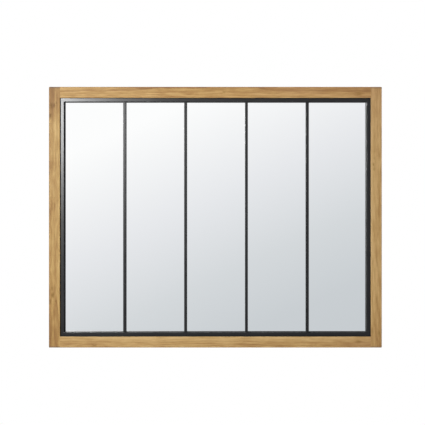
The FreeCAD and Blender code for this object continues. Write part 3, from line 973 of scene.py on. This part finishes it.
@dataclass
class TimberFrame:
    """Two stiles with two rails butted between them, and the dowels in the joints."""

    finish: StainedSoftwood = StainedSoftwood()
    dowel_finish: Beech = Beech()
    boards: tuple[Board, ...] = (
        Board(
            node="left_stile", grain=Grain.UPRIGHT, pith=(0.050, 0.045), seed=3.1,
            figure=2.7, darkness=0.56, outer_edge_shade=0.19, stain=(0.99, 0.99, 0.91), blush=(0.3, 1.3),
            # The upper patch is partly painted shade at the top of this stile.
            patches=(Patch(0.47, 0.17, 0.64), Patch(-0.47, 0.26, 0.34)),
            knots=(
                Knot(-0.0095, 0.401, 0.0062, 0.85), Knot(0.0005, 0.403, 0.0036, 0.70),
                Knot(0.0075, 0.412, 0.0030, 0.50), Knot(-0.0135, 0.365, 0.0050, 0.85),
                Knot(-0.008, -0.257, 0.0040, 0.45), Knot(-0.006, -0.281, 0.0050, 0.72),
                Knot(-0.016, -0.305, 0.0045, 0.60), Knot(0.006, -0.302, 0.0035, 0.45),
            ),
        ),
        Board(
            node="right_stile", grain=Grain.UPRIGHT, pith=(-0.055, 0.040), seed=17.4,
            figure=2.8, darkness=0.25, outer_edge_shade=0.19, stain=(1.0, 0.98, 1.0), blush=(0.2, 0.5),
            patches=(Patch(-0.47, 0.28, 0.47), Patch(0.47, 0.07, 0.30)),
            knots=(
                Knot(-0.007, 0.212, 0.0030, 0.45), Knot(-0.010, 0.190, 0.0035, 0.60),
                Knot(-0.008, 0.174, 0.0035, 0.55), Knot(0.010, -0.418, 0.0060, 0.50),
            ),
        ),
        Board(
            node="top_rail", grain=Grain.LEVEL, pith=(0.018, 0.060), seed=29.3,
            figure=2.8, darkness=0.44, outer_edge_shade=0.19, stain=(1.0, 0.95, 0.87), blush=(-0.1, 0.6),
            patches=(Patch(0.36, 0.14, -0.12), Patch(0.56, 0.10, 0.10)),
            knots=(Knot(0.0015, 0.031, 0.0035, 0.60), Knot(-0.004, 0.515, 0.0080, 0.38)),
        ),
        Board(
            node="bottom_rail", grain=Grain.LEVEL, pith=(-0.048, 0.050), seed=41.7,
            figure=2.3, darkness=0.33, outer_edge_shade=0.04, stain=(1.0, 1.0, 1.02), blush=(0.2, 0.9),
            patches=(Patch(-0.270, 0.22, -0.20), Patch(0.56, 0.16, 0.26)),
            knots=(Knot(-0.012, -0.435, 0.0050, 0.38), Knot(0.002, 0.515, 0.0060, 0.45)),
        ),
    )

    def dress(self) -> None:
        """Give each timber its own grain."""
        for board in self.boards:
            dress(self.finish.material(board), board.node)
        dress(self.dowel_finish.material(), "corner_dowels")


@dataclass
class SteelGrid:
    """The mitred steel perimeter and the four upright bars."""

    finish: BlackSteel = BlackSteel()
    bar_finish: BlackSteel = BlackSteel(dullness=0.70)
    tubes: tuple[str, ...] = (
        "grid_tube_left", "grid_tube_right", "grid_tube_top", "grid_tube_bottom",
    )
    bars: tuple[str, ...] = ("glazing_bar_1", "glazing_bar_2", "glazing_bar_3", "glazing_bar_4")

    def dress(self) -> None:
        """Paint the perimeter and the bars."""
        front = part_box(self.tubes[0])[0].y
        painted = self.finish.material("black_perimeter", front, self.tube_arris, self.mitre)
        dress(painted, *self.tubes)
        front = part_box(self.bars[0])[0].y
        painted = self.bar_finish.material("black_bar", front, self.bar_arris, self.bar_end)
        dress(painted, *self.bars)

    def tube_arris(self, spot: Spot) -> Value:
        """Distance from the perimeter's inner front arris.

        Args:
            spot: The place.

        Returns:
            The distance.
        """
        right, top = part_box("grid_tube_right")[0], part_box("grid_tube_top")[0]
        inside = (abs(spot.x) - right.x).math("MAXIMUM", abs(spot.z) - top.z)
        return (inside**2.0 + (spot.y - right.y) ** 2.0) ** 0.5

    def mitre(self, spot: Spot) -> Value:
        """Distance from the mitred corners."""
        right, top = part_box("grid_tube_right")[1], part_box("grid_tube_top")[1]
        return abs(abs(spot.x) - abs(spot.z) - (right.x - top.z)) * math.sqrt(0.5)

    def bar_arris(self, spot: Spot) -> Value:
        """Distance from the front arrises of the nearest bar.

        Args:
            spot: The place.

        Returns:
            The distance.
        """
        low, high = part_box(self.bars[-1])
        pitch = low.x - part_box(self.bars[-2])[0].x
        middle, half = (low.x + high.x) / 2, (high.x - low.x) / 2
        offset = abs(((spot.x - middle) / pitch + 0.5).math("FRACT") - 0.5) * pitch
        return ((half - offset) ** 2.0 + (spot.y - low.y) ** 2.0) ** 0.5

    def bar_end(self, spot: Spot) -> Value:
        """Distance from the ends of the bars."""
        return abs(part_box(self.bars[0])[1].z - abs(spot.z))


@dataclass
class MirrorSheet:
    """The mirror, its setting blocks and the cushion strips that press it onto the steel."""

    finish: SilveredGlass = SilveredGlass()
    block_finish: Rubber = Rubber()
    foam_finish: CushionFoam = CushionFoam()
    strips: tuple[str, ...] = ("top", "bottom", "left", "right", "bar_1", "bar_2", "bar_3", "bar_4")
    crown: float = 0.0007
    crown_steps: int = 4
    sharp_angle: float = 40.0

    def dress(self) -> None:
        """Silver the sheet and dress its blocks."""
        dress(self.finish.material("mirror_glass"), "mirror_glass")
        dress(self.block_finish.material(), "setting_block_left", "setting_block_right")

    def build(self) -> None:
        """Make the cushion strips."""
        foam = self.foam_finish.material()
        for name in self.strips:
            node = f"foam_strip_{name}"
            piece = self.strip(f"cushion_{name}", node)
            settle(piece, ROOT_BODY, [node], foam)

    def strip(self, name: str, node: str) -> Piece:
        """A strip of pressed foam whose free edges bulge.

        Args:
            name: The strip's name.
            node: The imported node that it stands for.

        Returns:
            The strip.
        """
        low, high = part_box(node)
        size = high - low
        Bench.clear()
        bpy.ops.mesh.primitive_cube_add(size=1, location=(low + high) / 2)
        piece = bpy.context.active_object
        piece.name = name
        piece.scale = size
        bpy.ops.object.transform_apply(location=True, rotation=True, scale=True)
        bpy.ops.object.mode_set(mode="EDIT")
        longest = 0 if size.x > size.z else 2

        def runs_along(mesh: bpy.types.Mesh, edge: bpy.types.MeshEdge) -> bool:
            """Whether an edge runs along the strip."""
            first, second = (mesh.vertices[i].co for i in edge.vertices)
            return abs(first[longest] - second[longest]) > size[longest] / 2

        Bench.pick(piece, "EDGE", runs_along)
        bpy.ops.mesh.bevel(offset=self.crown, segments=self.crown_steps, profile=0.5)
        bpy.ops.mesh.select_all(action="SELECT")
        bpy.ops.mesh.normals_make_consistent(inside=False)
        bpy.ops.object.mode_set(mode="OBJECT")
        Bench.smooth(piece, self.sharp_angle)
        return piece


@dataclass(frozen=True)
class Screw:
    """A cross-recessed wood screw, modelled point down about Z with the seat of its head at 0.

    The head and the shank are radii, the length lies below the seat and the rise above it.
    """

    kind: ScrewHead
    head: float
    shank: float
    length: float
    rise: float = 0.0
    sides: int = 32
    tip: float = 0.003
    tip_radius: float = 0.0002
    recess_width: float = 0.00075
    recess_taper: float = 0.62
    recess_reach: float = 1.25
    recess_depth: float = 0.62
    rim_share: float = 0.94
    rim_depth: float = 0.0002
    seat_depth: float = 0.00005
    dome_angles: tuple[float, ...] = (78, 60, 42, 24, 8)
    sharp_angle: float = 35.0

    def model(self, name: str) -> Piece:
        """Model the screw.

        Args:
            name: The piece's name.

        Returns:
            The screw, with its axis along Y and its head towards the wall.
        """
        head, shank = self.head, self.shank
        if self.kind is ScrewHead.COUNTERSUNK:
            rim = (head * self.rim_share, 0.0)
            rings = [rim, (head, -self.rim_depth), (shank, shank - head)]
        else:
            turns = [math.radians(angle) for angle in self.dome_angles]
            rings = [(head * math.cos(turn), self.rise * math.sin(turn)) for turn in turns]
            rings += [(head, 0.0), (shank, -self.seat_depth)]
        rings += [(shank, self.tip - self.length), (self.tip_radius, -self.length)]
        piece = Bench.turned(name, rings, self.sides)
        bpy.ops.object.mode_set(mode="OBJECT")
        Bench.carve(piece, self.cross())
        Bench.smooth(piece, self.sharp_angle)
        Bench.select(piece)
        piece.rotation_euler = (-math.pi / 2, 0, 0)
        bpy.ops.object.transform_apply(rotation=True)
        return piece

    def cross(self) -> Piece:
        """The tapered cross that a driver fits.

        Returns:
            The cutter.
        """
        reach, depth = self.head * self.recess_reach, self.head * self.recess_depth
        Bench.clear()
        bpy.ops.mesh.primitive_cube_add(size=1)
        cutter = bpy.context.active_object
        cutter.scale = (reach, self.recess_width, depth * 2)
        cutter.location = (0, 0, self.rise)
        bpy.ops.object.transform_apply(location=True, rotation=True, scale=True)
        bpy.ops.object.mode_set(mode="EDIT")
        Bench.pick(cutter, "FACE", lambda mesh, face: face.normal.z < -0.5)
        taper, bottom = self.recess_taper, self.rise - depth
        bpy.ops.transform.resize(value=(taper, taper, 1), center_override=(0, 0, bottom))
        bpy.ops.mesh.select_all(action="SELECT")
        bpy.ops.mesh.duplicate()
        bpy.ops.transform.rotate(value=math.pi / 2, orient_axis="Z", center_override=(0, 0, 0))
        bpy.ops.object.mode_set(mode="OBJECT")
        return cutter


@dataclass
class BackBoard:
    """The board in the back and the screws round it."""

    zinc: Material
    finish: Hardboard = Hardboard()
    screw: Screw = Screw(ScrewHead.COUNTERSUNK, head=0.003, shank=0.0015, length=0.014)
    screw_inset: float = 0.004
    rail_end: float = 0.100
    stile_end: float = 0.110
    rail_count: int = 5
    stile_count: int = 4

    def dress(self) -> None:
        """Give the board its fibres."""
        dress(self.finish.material(), "back_panel")

    def places(self) -> list[Vector]:
        """Where the screws stand, on the board's back.

        Returns:
            The middle of each head.
        """
        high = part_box("back_panel")[1]
        across, up = high.x - self.screw_inset, high.z - self.screw_inset
        end, top = CAD_BOX[1].x - self.rail_end, CAD_BOX[1].z - self.stile_end
        found = []
        for share in self.shares(self.rail_count):
            found += [Vector((share * end, high.y, side * up)) for side in (1, -1)]
        for share in self.shares(self.stile_count):
            found += [Vector((side * across, high.y, share * top)) for side in (1, -1)]
        return found

    @staticmethod
    def shares(count: int) -> list[float]:
        """Even steps from -1 to 1."""
        return [2 * i / (count - 1) - 1 for i in range(count)]

    def build(self) -> None:
        """Make the countersunk screws."""
        first = self.screw.model("panel_screw")
        for i, place in enumerate(self.places(), start=1):
            piece = Bench.copy(first, f"panel_screw_{i:02d}", place)
            settle(piece, ROOT_BODY, ["back_panel_screws"], self.zinc)
        bpy.data.objects.remove(first)


@dataclass
class Hangers:
    """A curled strap with a swinging ring on each stile, and the screws that hold the straps."""

    zinc: Material
    screw: Screw = Screw(ScrewHead.PAN, head=0.0035, shank=0.00175, length=0.018, rise=0.0022)
    upper_drop: float = 0.028
    screw_count: int = 2
    pitch: float = 0.016
    strap_thickness: float = 0.0015

    def dress(self) -> None:
        """Plate the straps and the rings."""
        for side in SIDES:
            dress(self.zinc, f"hanger_strap_{side}", f"hanger_ring_{side}")

    def build(self) -> None:
        """Make the pan-head screws."""
        first = self.screw.model("hanger_screw")
        for side in SIDES:
            strap_low, strap_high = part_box(f"hanger_strap_{side}")
            ring_low, ring_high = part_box(f"hanger_ring_{side}")
            axis = ring_high.z - (ring_high.y - ring_low.y) / 2
            x = (strap_low.x + strap_high.x) / 2
            for i in range(self.screw_count):
                level = axis - self.upper_drop - i * self.pitch
                place = Vector((x, strap_low.y + self.strap_thickness, level))
                piece = Bench.copy(first, f"hanger_screw_{side}_{i + 1}", place)
                settle(piece, ROOT_BODY, ["hanger_screws"], self.zinc)
        bpy.data.objects.remove(first)


@dataclass
class Bumpers:
    """The four rubber bumpers that meet the wall."""

    finish: Rubber = Rubber()
    nodes: tuple[str, ...] = (
        "bumper_upper_left", "bumper_upper_right", "bumper_lower_left", "bumper_lower_right",
    )

    def dress(self) -> None:
        """Give the bumpers their rubber."""
        dress(self.finish.material(), *self.nodes)


@dataclass(frozen=True)
class Lamp:
    """A soft round lamp that is aimed at the middle of the mirror."""

    name: str
    place: Triple
    size: float
    power: float
    reach: Reach

    def hang(self) -> None:
        """Add the lamp to the scene."""
        data = bpy.data.lights.new(self.name, "AREA")
        data.shape = "DISK"
        data.size = self.size
        data.energy = self.power
        lamp = bpy.data.objects.new(self.name, data)
        lamp.location = self.place
        lamp.rotation_euler = (-lamp.location).to_track_quat("-Z", "Y").to_euler()
        lamp.visible_glossy = self.reach is not Reach.MATT
        lamp.visible_diffuse = self.reach is not Reach.GLOSS
        bpy.context.scene.collection.objects.link(lamp)
        LOG.info("lamp %s hung", self.name)


@dataclass
class Studio:
    """A pale floor far below, soft lamps, a pale room and the camera."""

    floor_drop: float = 1.05
    floor_size: float = 4.2
    floor_colour: Colour = (0.78, 0.78, 0.78)
    floor_dullness: float = 0.7
    floor_grain: Noise = Noise((40, 40, 0), 3.0)
    floor_white: float = 0.55
    floor_fade: Fade = (0.22, 0.48)
    lamps: tuple[Lamp, ...] = (
        Lamp("key", (-1.38, -2.62, 0.66), 0.47, 40.0, Reach.ALL),
        Lamp("sheen", (-1.38, -2.62, 0.66), 0.47, 66.0, Reach.GLOSS),
        Lamp("fill", (-0.30, -3.20, 0.60), 2.00, 42.0, Reach.MATT),
        Lamp("rear", (0.90, 2.60, 1.50), 1.60, 65.0, Reach.ALL),
        Lamp("left_side", (-2.60, 0.90, 0.90), 1.20, 40.0, Reach.ALL),
        Lamp("right_side", (2.60, 0.90, 0.60), 1.20, 40.0, Reach.ALL),
    )
    fill: float = 0.07
    first_glance: float = 1.5
    second_glance: float = 0.10
    room_level: float = 0.80
    room_across: float = -0.45
    room_up: float = 1.0
    room_tones: tuple[tuple[float, Colour], ...] = (
        (0.0, (0.450, 0.480, 0.520)),
        (0.60, (0.600, 0.631, 0.657)),
        (0.69, (0.674, 0.700, 0.722)),
        (0.80, (0.812, 0.822, 0.847)),
        (0.95, WHITE),
    )
    side_walls: Colour = (0.62, 0.65, 0.68)
    side_fade: Fade = (0.35, 0.85)
    side_share: float = 0.7
    camera_place: Triple = (0.030, -2.640, 0.080)
    view_middle: tuple[float, float] = (-0.0103, 0.0171)
    view_width: float = 1.5308
    sensor: float = 36.0

    def build(self) -> None:
        """Set up everything round the object."""
        self.floor()
        for lamp in self.lamps:
            lamp.hang()
        self.room()
        self.camera()
        bpy.context.scene.view_settings.view_transform = "Standard"

    def floor(self) -> None:
        """Lay a plain floor that fades away towards its edges."""
        Bench.clear()
        level = CAD_BOX[0].z - self.floor_drop
        bpy.ops.mesh.primitive_plane_add(size=self.floor_size, location=(0, 0, level))
        floor = bpy.context.active_object
        floor.name = "floor"
        surface = Surface("pale_floor")
        x, y, _ = surface.place()
        radius = (x**2.0 + y**2.0) ** 0.5
        roughness = surface.pattern(self.floor_grain) * 0.1 + self.floor_dullness
        sockets = {"Base Color": self.floor_colour, "Roughness": roughness}
        pale = surface.node("ShaderNodeBsdfPrincipled", sockets=sockets)
        white = surface.node("ShaderNodeEmission", sockets={"Color": WHITE})
        gone = surface.node("ShaderNodeBsdfTransparent")
        seen = surface.seen()
        fade = (radius / self.floor_size).step(*self.floor_fade) * seen
        sockets = {0: seen * self.floor_white, 1: pale, 2: white}
        paled = surface.node("ShaderNodeMixShader", sockets=sockets)
        faded = surface.node("ShaderNodeMixShader", sockets={0: fade, 1: paled, 2: gone})
        surface.node("ShaderNodeOutputMaterial", sockets={"Surface": faded})
        floor.data.materials.append(surface.material)
        LOG.info("floor laid")

    def room(self) -> None:
        """Make the room: white behind, paler above than below where metal and glass mirror it."""
        world = bpy.data.worlds.new("pale_room")
        world.use_nodes = True
        bpy.context.scene.world = world
        graph = Graph(world.node_tree)
        across, _, up = graph.split(graph.node("ShaderNodeTexCoord", output="Generated"))
        level = across * self.room_across + up * self.room_up + self.room_level
        tone = graph.ramp(level, self.room_tones)
        aside = abs(across).step(*self.side_fade) * self.side_share
        tone = graph.blend(aside, tone, self.side_walls)
        glow = graph.node("ShaderNodeBackground", sockets={"Color": tone, "Strength": self.fill})
        glance = graph.node("ShaderNodeLightPath", output="Glossy Depth")
        first = glance.math("LESS_THAN", self.first_glance)
        strength = first * (1 - self.second_glance) + self.second_glance
        mirrored = graph.node("ShaderNodeBackground", sockets={"Color": tone, "Strength": strength})
        white = graph.node("ShaderNodeBackground", sockets={"Color": WHITE})
        glossy_ray = graph.node("ShaderNodeLightPath", output="Is Glossy Ray")
        lit = graph.node("ShaderNodeMixShader", sockets={0: graph.seen(), 1: glow, 2: white})
        shown = graph.node("ShaderNodeMixShader", sockets={0: glossy_ray, 1: lit, 2: mirrored})
        graph.node("ShaderNodeOutputWorld", sockets={"Surface": shown})
        LOG.info("room lit")

    def camera(self) -> None:
        """Put the camera in front, level and square to the mirror."""
        data = bpy.data.cameras.new("camera")
        data.sensor_fit = "HORIZONTAL"
        data.sensor_width = self.sensor
        reach = CAD_BOX[0].y - self.camera_place[1]
        data.lens = self.sensor * reach / self.view_width
        data.shift_x = (self.view_middle[0] - self.camera_place[0]) / self.view_width
        data.shift_y = (self.view_middle[1] - self.camera_place[2]) / self.view_width
        camera = bpy.data.objects.new("camera", data)
        camera.location = self.camera_place
        camera.rotation_euler = (math.pi / 2, 0, 0)
        bpy.context.scene.collection.objects.link(camera)
        bpy.context.scene.camera = camera
        LOG.info("camera placed")


def main() -> None:
    """Build and dress every sub-assembly, then the studio."""
    logging.basicConfig(level=logging.INFO, format="%(message)s")
    zinc = ZincSteel().material()
    TimberFrame().dress()
    SteelGrid().dress()
    sheet = MirrorSheet()
    sheet.dress()
    sheet.build()
    for part in (BackBoard(zinc), Hangers(zinc)):
        part.dress()
        part.build()
    Bumpers().dress()
    Studio().build()


if __name__ == "__main__":
    main()
